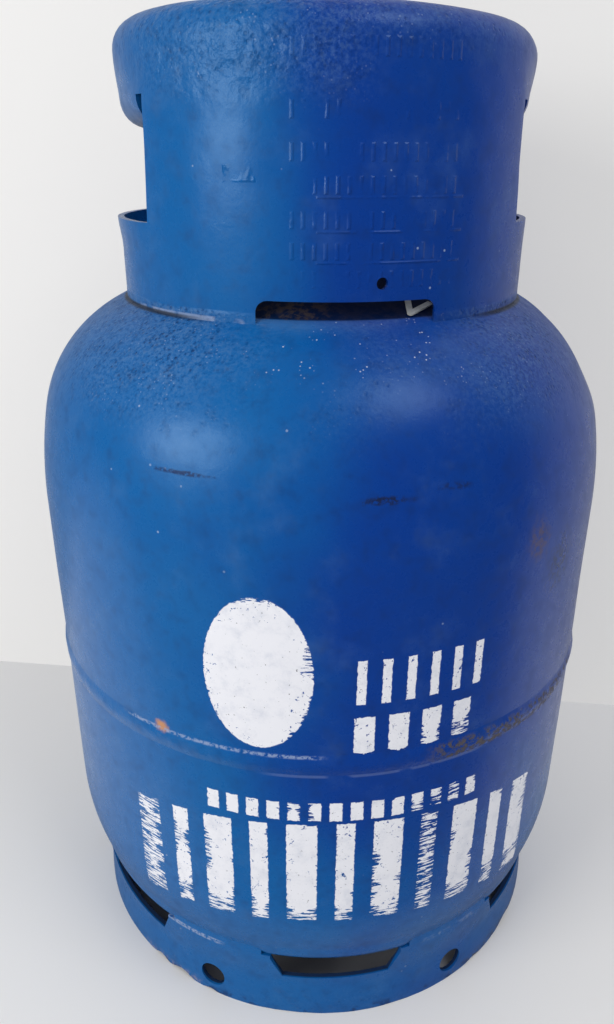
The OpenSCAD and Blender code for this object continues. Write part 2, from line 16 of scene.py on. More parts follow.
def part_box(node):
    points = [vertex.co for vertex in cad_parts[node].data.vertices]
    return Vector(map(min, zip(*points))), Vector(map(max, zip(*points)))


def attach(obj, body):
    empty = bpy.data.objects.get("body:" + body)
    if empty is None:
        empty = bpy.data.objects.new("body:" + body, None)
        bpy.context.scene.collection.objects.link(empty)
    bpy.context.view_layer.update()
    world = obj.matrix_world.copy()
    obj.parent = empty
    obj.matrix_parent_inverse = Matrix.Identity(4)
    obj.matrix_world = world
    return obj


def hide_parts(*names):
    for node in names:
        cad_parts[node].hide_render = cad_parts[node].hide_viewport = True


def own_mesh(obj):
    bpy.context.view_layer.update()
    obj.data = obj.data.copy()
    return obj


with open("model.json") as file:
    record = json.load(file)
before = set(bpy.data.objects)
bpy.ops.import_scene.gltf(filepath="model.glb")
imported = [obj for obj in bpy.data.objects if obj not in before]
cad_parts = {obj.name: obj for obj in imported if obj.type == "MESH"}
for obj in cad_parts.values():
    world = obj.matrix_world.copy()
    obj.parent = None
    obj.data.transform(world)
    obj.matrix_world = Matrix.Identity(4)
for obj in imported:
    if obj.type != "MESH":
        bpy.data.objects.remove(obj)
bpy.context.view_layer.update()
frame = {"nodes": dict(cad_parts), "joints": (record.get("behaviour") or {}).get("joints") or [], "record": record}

MM = 0.001
ROOT = "cylinder"

# ---- sizes, from the frame where it gives them ----

BODY_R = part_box("upper_shell")[1].x
SHELL_T = 2.7 * MM
UPPER_LOW_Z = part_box("upper_shell")[0].z
BEAD_LOW, BEAD_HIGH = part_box("girth_weld")
SEAM_Z = (BEAD_LOW.z + BEAD_HIGH.z) / 2
BEAD_HALF_W = (BEAD_HIGH.z - BEAD_LOW.z) / 2
BEAD_RISE = BEAD_HIGH.x - BODY_R
LOWER_HIGH_Z = 2 * SEAM_Z - UPPER_LOW_Z
BOSS_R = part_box("valve_boss")[1].x

# Domes: the height where each starts, its side, and its arcs as (radius, turn at its end)
SHOULDER = (274 * MM, 1, ((219 * MM, 13), (72 * MM, 62)))
HEEL = (93 * MM, -1, ((110 * MM, 26), (38 * MM, 75)))

GUARD_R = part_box("guard")[1].x
GUARD_FOOT_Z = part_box("guard")[0].z
GUARD_TOP_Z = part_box("guard")[1].z
GUARD_T = 3 * MM
RIM_R = 13 * MM
RIM_Z = GUARD_TOP_Z - RIM_R
RIM_WALL_R = GUARD_R - 2.1 * MM
WAIST_R = GUARD_R - 2.6 * MM
SILL_Z = GUARD_FOOT_Z + 38 * MM
WINDOW_TOP_Z = SILL_Z + 39 * MM
LIP_R = 12 * MM
LIP_Z = WINDOW_TOP_Z + LIP_R
WAIST_Z = WINDOW_TOP_Z + LIP_R / 2
WINDOW_HALF = 34.7
LIP_HALF = WINDOW_HALF - 3.6
SLOT_TURN, SLOT_W, SLOT_H, SLOT_CORNER = 0.9, 77 * MM, 10 * MM, 5 * MM
TAG_TURN, TAG_D, TAG_H = 8.9, 5 * MM, 17.2 * MM

FOOT_TOP_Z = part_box("foot_ring")[1].z
FOOT_R = BODY_R - 9.5 * MM
FOOT_TOP_R = FOOT_R + 0.8 * MM
FOOT_WAIST_R = FOOT_R - 1.2 * MM
FOOT_WAIST_Z = 22 * MM
FOOT_T = 3 * MM
FOOT_TURNS = [-0.6 + 55 * k for k in range(-2, 4)]
FOOT_WINDOW_Z = 28 * MM
FOOT_LOW_W, FOOT_TOP_W = 58.6 * MM, 74 * MM
FOOT_HOLE_D, FOOT_HOLE_Z = 15 * MM, 13.2 * MM
FOOT_HOLE_TURNS = [-0.6 + 57.8 * (k + 0.5) for k in range(-2, 3)]

# ---- the camera, and the room ----

# Where the camera stands, then how far it tilts down, points aside and leans, in degrees
CAMERA_TURN, CAMERA_REACH, CAMERA_Z = -5.5, 442.2 * MM, 441.7 * MM
CAMERA_PITCH, CAMERA_YAW, CAMERA_ROLL = 24.0, 0.934, 0.252
CAMERA_LENS = 28.39
# What reflections see of the room, the floor and the wall is named GLOSSY
ROOM_LIGHT, ROOM_GLOSSY = 0.66, 0.04
ROOM_TINT = (0.93, 0.95, 1.0, 1)
# The floor's colour, its painted shade under the cylinder, and what reflections see of it.
FLOOR, FLOOR_SHADE, FLOOR_GLOSSY = (0.84, 0.825, 0.795), (0.42, 0.43, 0.47), (0.06, 0.06, 0.06)
FRONT_EDGE_Y, FRONT_FADE = -150, 70      # mm
WALL, WALL_GLOSSY = (0.46, 0.455, 0.445), (0.08, 0.12, 0.16)
WALL_GLOW, WALL_GLOW_TINT = 0.37, (1, 0.99, 0.97, 1)
WALL_Y, WALL_ANGLE = 0.168, -11.0


# ---- small helpers ----

def spot(turn, radius, height):
    """The point at a turn, a radius and a height."""
    a = math.radians(turn)
    return Vector((radius * math.sin(a), -radius * math.cos(a), height))


def smooth(t):
    t = np.clip(t, 0, 1)
    return t * t * (3 - 2 * t)


def rumple(points, scale, seed):
    """Smooth noise of about -1 to 1 at each point, with lumps of a size of scale."""
    offset = Vector((seed * 7.3, seed * 3.1, seed * 5.7))
    return np.array([noise.noise(Vector(p) / scale + offset) for p in points])


def turn_of(points):
    return np.degrees(np.arctan2(points[:, 0], -points[:, 1]))


def apart(a, b):
    """The turn from b to a, -180 to 180 degrees."""
    return (a - b + 180) % 360 - 180


def outwards(points):
    """Unit vectors away from the axis, level."""
    flat = points * np.array([1, 1, 0])
    return flat / np.maximum(np.linalg.norm(flat, axis=1), 1e-9)[:, None]


def mesh_piece(name, points, faces, node, material, sharp=40):
    """A new piece that rides on the cylinder and stands for one CAD node."""
    mesh = bpy.data.meshes.new(name)
    mesh.from_pydata([tuple(p) for p in points], [], [tuple(f) for f in faces])
    bm = bmesh.new()
    bm.from_mesh(mesh)
    bmesh.ops.remove_doubles(bm, verts=bm.verts, dist=1e-6)
    bmesh.ops.recalc_face_normals(bm, faces=bm.faces)
    bm.to_mesh(mesh)
    bm.free()
    piece = bpy.data.objects.new(name, mesh)
    bpy.context.scene.collection.objects.link(piece)
    mesh.materials.append(material)
    mesh.shade_smooth()
    mesh.set_sharp_from_angle(angle=math.radians(sharp))
    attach(piece, ROOT)
    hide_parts(node)
    return piece


def grid_faces(rows, columns, close_rows=False):
    """Quads of a grid that is closed round its columns. Point (i, j) has the index i * columns + j."""
    i = np.arange(rows if close_rows else rows - 1)
    j = np.arange(columns)
    i, j = np.meshgrid(i, j, indexing="ij")
    i2, j2 = (i + 1) % rows, (j + 1) % columns
    corners = (i * columns + j, i * columns + j2, i2 * columns + j2, i2 * columns + j)
    return np.stack(corners, -1).reshape(-1, 4)


def revolved(profile, turns):
    """Points of a (radius, height) profile at each turn, row by row."""
    a = np.radians(turns)
    r, z = profile[:, 0][:, None], profile[:, 1][:, None]
    points = np.stack([r * np.sin(a), -r * np.cos(a), z + 0 * a], -1)
    return points.reshape(-1, 3)


def line(start, end, step):
    """Points from start to end, about a step apart, without the last one."""
    start, end = np.array(start, float), np.array(end, float)
    n = max(1, round(np.linalg.norm(end - start) / step))
    return start + (end - start) * (np.arange(n) / n)[:, None]


def arc(centre, radius, start, end, step, side=1):
    """Points on an arc from start to end degrees, about a step apart, without the last one."""
    n = max(2, round(abs(math.radians(end - start)) * radius / step))
    a = np.radians(start + (end - start) * np.arange(n) / n)
    return np.array(centre) + radius * np.stack([np.cos(a), side * np.sin(a)], -1)


def dome_profile(dome, inset, end_r, step):
    """A dome's outline from its start to the radius end_r, inset by a wall's thickness."""
    start_z, side, bends = dome
    centre, radius, turn = np.array([BODY_R, start_z]), 0, 0
    rows = []
    for bend_r, bend_end in bends:
        centre = centre + (radius - bend_r) * np.array([math.cos(math.radians(turn)),
            side * math.sin(math.radians(turn))])
        radius = bend_r
        rows.append(arc(centre, radius - inset, turn, bend_end, step, side))
        turn = bend_end
    end = centre + radius * np.array([math.cos(math.radians(turn)),
        side * math.sin(math.radians(turn))])
    crown_r = end[0] / math.cos(math.radians(turn))
    centre = np.array([0, end[1] - side * crown_r * math.sin(math.radians(turn))])
    last = math.degrees(math.acos(end_r / (crown_r - inset)))
    rows.append(arc(centre, crown_r - inset, turn, last, step, side))
    rows.append(centre + (crown_r - inset) * np.array([[math.cos(math.radians(last)),
        side * math.sin(math.radians(last))]]))
    return np.concatenate(rows)


# ---- camera, light and stage ----

def add_camera():
    """The photograph's view: a phone held in front, above the guard's rim, and tilted down."""
    yaw, pitch = math.radians(CAMERA_TURN + CAMERA_YAW), math.radians(90 - CAMERA_PITCH)
    data = bpy.data.cameras.new("camera")
    data.lens = CAMERA_LENS
    data.clip_start = 0.01
    camera = bpy.data.objects.new("camera", data)
    place = spot(CAMERA_TURN, CAMERA_REACH, CAMERA_Z)
    camera.matrix_world = (Matrix.Translation(place) @ Matrix.Rotation(yaw, 4, "Z")
        @ Matrix.Rotation(pitch, 4, "X") @ Matrix.Rotation(math.radians(CAMERA_ROLL), 4, "Z"))
    bpy.context.scene.collection.objects.link(camera)
    bpy.context.scene.camera = camera


def area_light(name, place, aim, size, power, colour):
    data = bpy.data.lights.new(name, "AREA")
    data.shape = "RECTANGLE"
    data.size, data.size_y = size
    data.energy = power
    data.color = colour
    lamp = bpy.data.objects.new(name, data)
    lamp.location = place
    lamp.rotation_mode = "QUATERNION"
    lamp.rotation_quaternion = (Vector(aim) - Vector(place)).to_track_quat("-Z", "Y")
    bpy.context.scene.collection.objects.link(lamp)


def add_lights():
    """A large low window on the left, a soft ceiling light, and a plain pale room that is dark in
    reflections, as a room is behind the person who looks at a glossy thing."""
    aim = (0, 0, 0.30)
    area_light("window_light", spot(-56, 1.5, 0.78), aim, (0.8, 0.75), 12, (1, 0.99, 0.97))
    area_light("ceiling_light", spot(42, 1.1, 1.85), aim, (0.8, 0.8), 8.4, (0.98, 0.98, 1))
    world = bpy.data.worlds.new("room")
    bpy.context.scene.world = world
    world.use_nodes = True
    tree = world.node_tree
    room = tree.nodes["Background"]
    room.inputs["Color"].default_value = ROOM_TINT
    feed(glossy_ray(tree) * (ROOM_GLOSSY - ROOM_LIGHT) + ROOM_LIGHT, room.inputs["Strength"])


def glossy_ray(tree):
    """1 where a reflection looks, 0 for every other ray."""
    return Value(tree, tree.nodes.new("ShaderNodeLightPath").outputs["Is Glossy Ray"])


def floor_material():
    """A pale floor, with painted shade under the cylinder. Reflections see its front part dark, as if
    someone stood there, and a painted shadow round the foot."""
    p = Paint("floor")
    foot_r = FOOT_R / MM
    front = p.y.ramp(FRONT_EDGE_Y, FRONT_EDGE_Y - FRONT_FADE)
    # Painted shadow round the foot, seen in reflections.
    round_foot = p.reach.ramp(foot_r + 110, foot_r + 10) * 0.6
    # Painted shade on the floor under the cylinder.
    colour = p.mix(p.reach.ramp(foot_r - 2, foot_r - 8), FLOOR, FLOOR_SHADE)
    dark = glossy_ray(p.tree) * top_of(front, round_foot)
    feed(p.mix(dark, colour, FLOOR_GLOSSY), p.shader.inputs["Base Color"])
    p.shader.inputs["Roughness"].default_value = 0.45
    return p.material


def wall_material():
    """A pale wall that shows only its front, so that it never hides the cylinder's back. Half of
    its tone is its own, so that the shadow on it stays light. Its left is dim in reflections."""
    p = Paint("wall")
    tree, shader = p.tree, p.shader
    shader.inputs["Roughness"].default_value = 0.7
    shader.inputs["Emission Color"].default_value = WALL_GLOW_TINT
    glossy = glossy_ray(tree)
    left = p.x.ramp(-120, -420)
    feed(p.mix(glossy * left * 0.8, WALL, WALL_GLOSSY), shader.inputs["Base Color"])
    feed(WALL_GLOW - glossy * (left * 0.09 + 0.20), shader.inputs["Emission Strength"])
    mix = tree.nodes.new("ShaderNodeMixShader")
    feed(tree.nodes.new("ShaderNodeNewGeometry").outputs["Backfacing"], mix.inputs["Fac"])
    feed(shader.outputs["BSDF"], mix.inputs[1])
    feed(tree.nodes.new("ShaderNodeBsdfTransparent").outputs["BSDF"], mix.inputs[2])
    feed(mix.outputs["Shader"], tree.nodes["Material Output"].inputs["Surface"])
    return p.material


def add_stage():
    """A pale floor and, close behind the cylinder, a pale wall that isn't square to the camera. The
    wall throws no shadow and no light on the cylinder."""
    floor_mesh = bpy.data.meshes.new("floor")
    floor_mesh.from_pydata([(-4, -4, 0), (4, -4, 0), (4, 4, 0), (-4, 4, 0)], [], [(0, 1, 2, 3)])
    floor = bpy.data.objects.new("floor", floor_mesh)
    floor_mesh.materials.append(floor_material())
    wall_mesh = bpy.data.meshes.new("wall")
    wall_mesh.from_pydata([(-4, 0, 0), (4, 0, 0), (4, 0, 4), (-4, 0, 4)], [], [(0, 1, 2, 3)])
    wall = bpy.data.objects.new("wall", wall_mesh)
    wall_mesh.materials.append(wall_material())
    wall.location = (0, WALL_Y, 0)
    wall.rotation_euler = (0, 0, math.radians(WALL_ANGLE))
    wall.visible_diffuse = False
    wall.visible_shadow = False
    for piece in (floor, wall):
        bpy.context.scene.collection.objects.link(piece)


# ---- shader values: numbers and sockets with arithmetic ----

class Value:
    """A number inside a shader. Arithmetic on it adds Math nodes."""

    def __init__(self, tree, socket):
        self.tree = tree
        self.socket = socket

    def math(self, operation, *others):
        node = self.tree.nodes.new("ShaderNodeMath")
        node.operation = operation
        for k, item in enumerate((self, *others)):
            feed(item, node.inputs[k])
        return Value(self.tree, node.outputs[0])

    def __add__(self, other):
        return self.math("ADD", other)

    def __sub__(self, other):
        return self.math("SUBTRACT", other)

    def __rsub__(self, other):
        return (self * -1) + other

    def __mul__(self, other):
        return self.math("MULTIPLY", other)

    __radd__ = __add__
    __rmul__ = __mul__

    def __truediv__(self, other):
        return self.math("DIVIDE", other)

    def __abs__(self):
        return self.math("ABSOLUTE")

    def ramp(self, low, high, start=0, end=1):
        """Goes smoothly from start to end as this goes from low to high."""
        node = self.tree.nodes.new("ShaderNodeMapRange")
        node.interpolation_type = "SMOOTHSTEP"
        for key, item in (("Value", self), ("From Min", low), ("From Max", high),
                ("To Min", start), ("To Max", end)):
            feed(item, node.inputs[key])
        return Value(self.tree, node.outputs["Result"])

    def near(self, centre, half, soft):
        """1 where this is within half of centre, falling to 0 over soft."""
        return abs(self - centre).ramp(half + soft, half)


def feed(item, socket):
    if isinstance(item, Value):
        item.tree.links.new(item.socket, socket)
    elif isinstance(item, bpy.types.NodeSocket):
        item.id_data.links.new(item, socket)
    else:
        socket.default_value = item


def top_of(*values):
    best = values[0]
    for value in values[1:]:
        best = best.math("MAXIMUM", value)
    return best


class Paint:
    """A material being made: its tree, its surface position in mm, and its Principled shader."""

    def __init__(self, name):
        self.material = bpy.data.materials.new(name)
        self.material.use_nodes = True
        self.tree = self.material.node_tree
        self.made = {}
        self.shader = self.tree.nodes["Principled BSDF"]
        place = self.tree.nodes.new("ShaderNodeTexCoord").outputs["Object"]
        scale = self.tree.nodes.new("ShaderNodeVectorMath")
        scale.operation = "SCALE"
        self.tree.links.new(place, scale.inputs[0])
        scale.inputs["Scale"].default_value = 1 / MM
        self.place = scale.outputs[0]
        parts = self.tree.nodes.new("ShaderNodeSeparateXYZ")
        self.tree.links.new(self.place, parts.inputs[0])
        self.x, self.y, self.z = (Value(self.tree, s) for s in parts.outputs)
        self.turn = self.x.math("ARCTAN2", self.y * -1) * (180 / math.pi)
        self.reach = (self.x * self.x + self.y * self.y).math("SQRT")

    def vector(self, x, y, z):
        node = self.tree.nodes.new("ShaderNodeCombineXYZ")
        for item, socket in zip((x, y, z), node.inputs):
            feed(item, socket)
        return node.outputs[0]

    def noise(self, size, detail=2.0, rough=0.5, vector=None):
        """Noise of 0 to 1, mean about 0.5, with lumps of about size mm. The same noise is made once."""
        key = (size, detail, rough, vector)
        if key in self.made:
            return self.made[key]
        node = self.tree.nodes.new("ShaderNodeTexNoise")
        feed(vector or self.place, node.inputs["Vector"])
        node.inputs["Scale"].default_value = 1 / size
        node.inputs["Detail"].default_value = detail
        node.inputs["Roughness"].default_value = rough
        self.made[key] = Value(self.tree, node.outputs["Fac"])
        return self.made[key]

    def cells(self, size, vector=None):
        """Distance to the nearest of scattered points about size mm apart, in parts of size."""
        node = self.tree.nodes.new("ShaderNodeTexVoronoi")
        feed(vector or self.place, node.inputs["Vector"])
        node.inputs["Scale"].default_value = 1 / size
        return Value(self.tree, node.outputs["Distance"])

    def mix(self, share, low, high):
        """A colour from low to high by share."""
        node = self.tree.nodes.new("ShaderNodeMix")
        node.data_type = "RGBA"
        feed(share, node.inputs[0])
        for item, socket in ((low, node.inputs[6]), (high, node.inputs[7])):
            feed((*item, 1) if isinstance(item, tuple) else item, socket)
        return node.outputs[2]

    def bump(self, height_mm):
        node = self.tree.nodes.new("ShaderNodeBump")
        feed(height_mm, node.inputs["Height"])
        node.inputs["Distance"].default_value = MM
        node.inputs["Strength"].default_value = 1.0
        return node.outputs["Normal"]


# ---- materials ----

BLUE = (0.0012, 0.037, 0.255)
# Faded paint, and also the lighter paint on the left that is painted light from the window.
BLUE_FADED_AND_LIT = (0.0035, 0.105, 0.335)
BLUE_DARK = (0.0015, 0.016, 0.095)
CHALK = (0.11, 0.21, 0.38)
SCUFF = (0.26, 0.33, 0.50)
WHITE_PRINT = (0.80, 0.80, 0.84)
OLD_PRINT = (0.50, 0.53, 0.62)
RUST = (0.095, 0.075, 0.065)
ORANGE = (0.52, 0.24, 0.10)
PEACH = (0.55, 0.36, 0.26)
GRIME = (0.012, 0.012, 0.018)
# Painted shade under the bottom and inside the foot ring.
UNDER_SHADE = (0.012, 0.022, 0.055)
# Painted shade inside the guard, round the crown.
CROWN_SHADE = (0.0012, 0.008, 0.040)
CROWN_BROWN = (0.09, 0.065, 0.045)
STAIN = (0.14, 0.09, 0.06)
SHEEN_TINT = (0.54, 0.80, 1.0, 1)
PER_DEGREE = math.pi / 180 * BODY_R / MM

# The print's rows of bars in mm: the first bar's middle, how many, their pitch and width, and the
# heights of their ends. The curved rows sag towards the sides.
PRINT_ROWS = ((5, 6, 11.4, 4.2, 219, 242), (7, 4, 16, 9.5, 186, 212), (-65, 14, 10, 6, 152, 163))
CURVED_ROWS = ((-106, 6, 42.4, 15, 85, 150), (-84.8, 5, 42.4, 9, 85, 150))
RAISED_BANDS = (478, 457, 442, 430, 417, 405, 394)
RAISED_LINES = (425.5, 412.5, 400.5)


def box_inside(u, v, centre_u, centre_v, half_u, half_v):
    """How far inside a plain box a point is, in mm, negative outside."""
    return (half_u - abs(u - centre_u)).math("MINIMUM", half_v - abs(v - centre_v))


def oval_inside(u, v, centre_u, centre_v, half_u, half_v):
    """About how far inside an oval a point is, in mm, negative outside."""
    du, dv = (u - centre_u) / half_u, (v - centre_v) / half_v
    return (1 - (du * du + dv * dv).math("SQRT")) * min(half_u, half_v)


def row_inside(u, v, first, count, pitch, bar, low, high):
    """How far inside one of a row of upright bars a point is, in mm. first is a bar's middle."""
    start, end = first - pitch / 2, first + (count - 0.5) * pitch
    bars = bar / 2 - abs((((u - start) / pitch).math("FRACT") - 0.5) * pitch)
    ends = (u - start).math("MINIMUM", end - u)
    sides = (v - low).math("MINIMUM", high - v)
    return bars.math("MINIMUM", ends).math("MINIMUM", sides)


def print_marks(p):
    """Plain white shapes where the print was: an oval and rows of upright bars."""
    wobble_u = (p.noise(2.0, 3) - 0.5) * 1.3
    wobble_v = (p.noise(2.3, 3, vector=p.vector(p.z, p.x, p.y)) - 0.5) * 1.3
    u, v = p.turn * PER_DEGREE + wobble_u, p.z + wobble_v
    oval = oval_inside(u, v, -41, 233, 25, 39)
    rows = [row_inside(u, v, *row) for row in PRINT_ROWS]
    sagging = v + u * u * (10 / 110 / 110)
    rows += [row_inside(u, sagging, *row) for row in CURVED_ROWS]
    return top_of(oval, *rows)


def wear_of_print(p):
    """How many mm of the print's edge are worn off, more where it is chipped or scraped."""
    streaks = p.noise(1, 4, 0.65, vector=p.vector(p.turn * 0.28, p.z * 0.75, 0.0))
    scraped = top_of(p.turn.near(14.5, 2.6, 1.2) * p.z.near(118, 34, 8),
        p.turn.near(-39.5, 2.2, 1.5) * p.z.near(120, 40, 8), p.z.near(88, 1, 7) * 0.8,
        p.turn.near(21, 3, 3) * p.z.near(190, 6, 8), p.noise(30, 2).ramp(0.56, 0.7) * 0.5)
    chips = p.noise(2.4, 4, 0.72).ramp(0.60, 0.67) * p.noise(20, 2).ramp(0.3, 0.55)
    bead_rub = p.z.near(188, 2, 3) * p.noise(4, 3).ramp(0.35, 0.5)
    return streaks.ramp(0.44, 0.60) * scraped * 12 + chips * 8 + bead_rub * 12


def patch(p, turn, z, half_u, half_z, soft=0.5):
    """A ragged patch at a turn and height, of a half width and half height in mm, 0 to 1."""
    lump = (p.noise(4, 4, 0.6) - 0.5) * 2
    du, dz = (p.turn - turn) * (PER_DEGREE / half_u), (p.z - z) / half_z
    return ((du * du + dz * dz).math("SQRT") + lump * 0.9).ramp(1 + soft, 1 - soft)


def raised_marks(p):
    """Faint raised rows of short plain bars on the guard's front, and one plain raised block."""
    per_degree = math.pi / 180 * GUARD_R / MM
    u = p.turn * per_degree
    rows = row_inside(u, p.z, -22, 16, 4.6, 1.5, 390.5, 481.5)
    bands = top_of(*(3.3 - abs(p.z - z) for z in RAISED_BANDS))
    lines = [box_inside(u, p.z, 20, z, 32, 0.45) for z in RAISED_LINES]
    block = box_inside(u, p.z, -44, 434, 7, 3)
    worn = p.noise(13, 3, 0.6).ramp(0.42, 0.60)
    return top_of(rows.math("MINIMUM", bands), *lines, block).ramp(-0.4, 0.6) * worn


def body_marks(p, colour, height):
    """Rust, dirt and scratches where the body has them, painted highlights along the bead and on edges
    on the lit left, and a painted shadow in the gap under the guard's foot, each as (share, colour).
    """
    fine = p.noise(2.2, 4, 0.7)
    bead_rust = (p.turn.near(38, 19, 6) * p.z.near(184.5, 3.5, 3)
        * p.noise(4, 5, 0.7).ramp(0.47, 0.56))
    on_foot = p.reach.ramp(FOOT_R / MM - 2.4, FOOT_R / MM - 1.6)
    foot_edge = p.z.ramp(7, 1.5) * on_foot
    foot_top = p.z.near(FOOT_TOP_Z / MM, 1.0, 0.8) * on_foot
    guard_foot = p.z.near(376, 4, 2)
    marks = [
        (patch(p, -28.1, 322, 13, 0.9) * fine.ramp(0.35, 0.5), BLUE_DARK),
        (patch(p, 5.0, 315, 10, 1.6) * fine.ramp(0.42, 0.55) * 0.8, GRIME),
        (patch(p, 16.8, 318, 7, 1.5) * fine.ramp(0.42, 0.55) * 0.5, GRIME),
        (patch(p, 35.5, 283, 6.5, 9, soft=0.6) * fine.ramp(0.36, 0.58) * 0.55, STAIN),
        (patch(p, 43.5, 266, 10, 14) * fine.ramp(0.42, 0.6) * 0.6, GRIME),
        (bead_rust * 0.9, RUST),
        (patch(p, -34.5, 192, 3.4, 2.8) * 0.95, ORANGE),
        # Pale line along the bead's top edge on the lit left: painted highlight, with worn paint.
        (p.turn.near(-24, 17, 4) * p.z.near(190.3, 0.3, 1.0) * fine.ramp(0.42, 0.56) * 0.8, SCUFF),
        # Painted highlight: a faint pale line along the lower edge of the seam.
        (p.turn.near(6, 17, 6) * p.z.near(179, 0.4, 0.8) * p.noise(14, 2).ramp(0.4, 0.5) * 0.2,
            SCUFF),
        (foot_edge * p.turn.near(-42, 7, 4) * fine.ramp(0.50, 0.56) * 0.35, PEACH),
        (foot_edge * p.turn.near(46, 14, 8) * fine.ramp(0.5, 0.58) * 0.8, RUST),
        (foot_edge * p.noise(11, 3, 0.6).ramp(0.52, 0.62) * 0.7, BLUE_DARK),
        # Pale outer edge of the guard's foot on the lit left: painted highlight, with worn paint.
        (guard_foot * p.turn.near(-42, 18, 6) * p.z.ramp(377.2, 376.4)
            * p.reach.near(GUARD_R / MM, 0.3, 0.2) * p.noise(14, 2).ramp(0.42, 0.5) * 0.7, SCUFF),
        # Pale line along the foot ring's top on its left land: painted highlight on the weld, with wear.
        (foot_top * p.turn.near(-35, 7, 3) * fine.ramp(0.42, 0.52) * 0.8, SCUFF),
        (foot_top * p.noise(14, 2).ramp(0.5, 0.6) * fine.ramp(0.45, 0.6) * 0.4, SCUFF),
        # Painted shadow: a dark line in the gap between the guard's foot and the shoulder, at the far left and
        # right.
        (guard_foot * p.reach.near(101.6, 0.5, 1.6) * p.z.ramp(376.4, 375.4)
            * abs(p.turn).ramp(30, 48) * 0.85, GRIME),
    ]
    for share, tone in marks:
        colour = p.mix(share, colour, tone)
    return colour, height - bead_rust * 0.2, top_of(bead_rust, marks[3][0])


def faded_and_lit(p):
    """How far the paint is lighter, 0 to 1: most on the left, the side the window light falls on, which
    is painted light; also faded low down and on the crown's left."""
    # Painted light: lighter towards turn -62, the side the window light falls on.
    lit_left = ((p.turn + 62) * (math.pi / 180)).math("COSINE").ramp(0.35, 0.98)
    crown = p.z.ramp(295, 350) * p.z.ramp(380, 374)
    low_and_high = top_of(p.z.ramp(205, 60) * 0.6, crown * p.turn.ramp(45, -5) * 0.35)
    return (lit_left + low_and_high + (p.noise(70, 2) - 0.5) * 0.9).ramp(0, 1)


def roughened(p):
    """Where rust under the paint has made it rough: the top of the shoulder, the guard's rim and the
    foot. Also the left of the rim by itself, which was knocked."""
    flank = p.noise(38, 2).ramp(0.38, 0.62)
    sides = abs(p.turn - 2).ramp(10, 46)
    shoulder = p.z.ramp(322, 370) * p.z.ramp(380, 378) * (flank * 0.35 + sides * 0.9)
    battered = p.z.ramp(452, 478) * p.turn.near(-26, 22, 16)
    rim = p.z.ramp(470, 492) * 0.5
    foot = p.z.ramp(26, 4) * (flank * 0.2 + 0.1)
    return top_of(shoulder, rim, battered * 0.6, foot), battered


def speckled(p, colour, weathered, grit, pits):
    """Chalky and dark grit, pits and pale specks where the paint is weathered, white specks by the
    drain slot, and a few stray chips everywhere."""
    specks = p.cells(2.2, vector=p.vector(p.y, p.z, p.x)).ramp(0.22, 0.1)
    by_slot = p.z.ramp(352, 368) * p.z.ramp(378, 375) * abs(p.turn - SLOT_TURN).ramp(27, 20)
    stray = p.cells(13).ramp(0.050, 0.032) * p.noise(60, 1).ramp(0.45, 0.6)
    for share, tone in (
        (weathered * grit.ramp(0.42, 0.66) * 0.36, CHALK),
        (weathered * grit.ramp(0.46, 0.34) * 0.5, BLUE_DARK),
        (weathered * specks * p.noise(12, 2).ramp(0.45, 0.6) * 0.6, SCUFF),
        (weathered * pits * 0.5, BLUE_DARK),
        (by_slot * specks * p.noise(9, 2).ramp(0.53, 0.62) * 0.6, WHITE_PRINT),
        (stray * 0.8, SCUFF),
    ):
        colour = p.mix(share, colour, tone)
    return colour


def white_print(p, colour, rough):
    """The worn white print over the paint."""
    ink = (print_marks(p) - wear_of_print(p)).ramp(-0.2, 0.2)
    white = p.mix(p.noise(9, 4, 0.7).ramp(0.45, 0.8) * 0.5, WHITE_PRINT, OLD_PRINT)
    white = p.mix(p.noise(1.7, 3, 0.7).ramp(0.66, 0.72) * 0.85, white, GRIME)
    return p.mix(ink, colour, white), rough + ink * 0.1


def blue_paint(name, prints=False, raised=False, grain=0.0):
    """Worn blue paint: uneven colour, chalky faded paint, pits, scratches, rust and grime, with painted
    light on the left, painted highlights and painted shade.
    """
    p = Paint(name)
    fine = p.noise(7, 4, 0.6)
    # Lighter on the left: painted light from the window, with faded paint low down and on the crown.
    colour = p.mix(faded_and_lit(p), BLUE, BLUE_FADED_AND_LIT)
    colour = p.mix(fine.ramp(0.45, 0.8) * 0.3, colour, BLUE_DARK)
    colour = p.mix(p.noise(26, 4, 0.65).ramp(0.5, 0.85) * 0.18, colour, CHALK)
    weathered, battered = roughened(p)
    pits = p.cells(2.6).ramp(0.42, 0.12) * p.noise(7, 2).ramp(0.42, 0.6)
    grit = p.noise(1.8, 3, 0.7)
    colour = speckled(p, colour, weathered, grit, pits)
    rough = fine.ramp(0.3, 0.8, 0.26, 0.35) + weathered * 0.16
    height = (p.noise(1.1, 2) * 0.025 + p.noise(3.2, 3) * 0.05 + p.noise(13, 2) * 0.10
        - pits * weathered * 0.25 + grit * weathered * 0.22
        + p.noise(5, 3) * (weathered * 0.3 + battered * 1.1))
    if grain:
        height = height + p.noise(2.4, 4, 0.6) * grain
    if raised:
        height = height + raised_marks(p) * 0.35
    colour, height, rusty = body_marks(p, colour, height)
    rough = rough + rusty * 0.3
    if prints:
        colour, rough = white_print(p, colour, rough)
    colour = p.mix(p.noise(4, 5, 0.7).ramp(0.72, 0.80) * 0.7, colour, GRIME)
    # Painted shade under the bottom and inside the guard, with brown dirt there.
    colour, rough = painted_shade_and_dirt(p, colour, rough)
    feed(colour, p.shader.inputs["Base Color"])
    feed(rough, p.shader.inputs["Roughness"])
    feed(p.bump(height), p.shader.inputs["Normal"])
    p.shader.inputs["Specular Tint"].default_value = SHEEN_TINT
    return p.material


